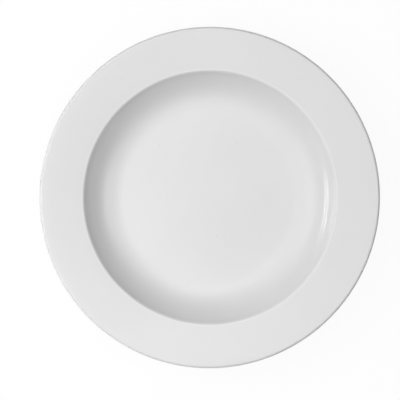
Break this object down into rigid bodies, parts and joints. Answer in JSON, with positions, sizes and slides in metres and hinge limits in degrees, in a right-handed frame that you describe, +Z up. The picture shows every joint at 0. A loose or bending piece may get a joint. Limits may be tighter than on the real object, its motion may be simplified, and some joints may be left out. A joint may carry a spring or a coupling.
{
  "type": "pasta plate",
  "caption": "Round white porcelain plate with a broad rising rim around a deep curved well for pasta, glazed all over except its ground foot ring.",
  "frame": {"origin": "middle of the foot ring, on the plane of its ground face", "axes": "+Z up along the plate's axis, out of the well; X and Y lie in the plane the foot rests on"},
  "size_m": [0.3, 0.3, 0.036],
  "materials": {
    "bisque_porcelain": "bare fired porcelain, ground smooth on the foot, matte",
    "white_glaze": "white glossy glaze"
  },
  "bodies": {
    "root": {"porcelain_body": "bisque_porcelain", "glaze_coat": "white_glaze", "base_glaze": "white_glaze"}
  },
  "joints": []
}
